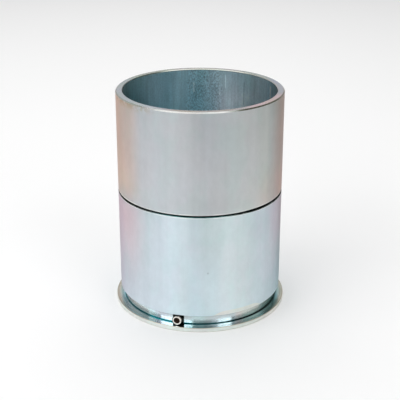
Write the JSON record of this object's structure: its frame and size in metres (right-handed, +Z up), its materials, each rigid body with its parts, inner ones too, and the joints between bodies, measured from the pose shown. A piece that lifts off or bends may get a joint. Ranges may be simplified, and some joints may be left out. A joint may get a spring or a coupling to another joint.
{
  "type": "marshall compaction mould",
  "caption": "Upright steel mould for compacting asphalt specimens: flanged base plate, mould body with stepped ends, lift-off filling collar and a small clamp screw at the foot.",
  "frame": {"origin": "centre of the base plate's underside", "axes": "+Z up along the mould's axis, -Y towards the clamp screw"},
  "size_m": [0.1206, 0.1206, 0.1537],
  "materials": {
    "base_zinc": "turned steel with bright zinc plating, clear blue passivation",
    "mould_zinc": "turned steel with satin zinc plating, clear blue passivation",
    "collar_zinc": "turned steel with satin zinc plating, clear blue passivation",
    "screw_black": "black oxide, worn bright on the end face"
  },
  "bodies": {
    "base": {"base_plate": "base_zinc"},
    "mould": {"mould_body": "mould_zinc"},
    "collar": {"filling_collar": "collar_zinc"},
    "screw": {"clamp_screw": "screw_black"}
  },
  "joints": [
    {"name": "mould_lift", "type": "slide", "parent": "base", "child": "mould", "axis": [0, 0, 1], "range_m": [0, 0.03]},
    {"name": "collar_lift", "type": "slide", "parent": "mould", "child": "collar", "axis": [0, 0, 1], "range_m": [0, 0.03]},
    {"name": "screw_withdraw", "type": "slide", "parent": "base", "child": "screw", "axis": [0, -1, 0], "range_m": [0, 0.012]}
  ]
}
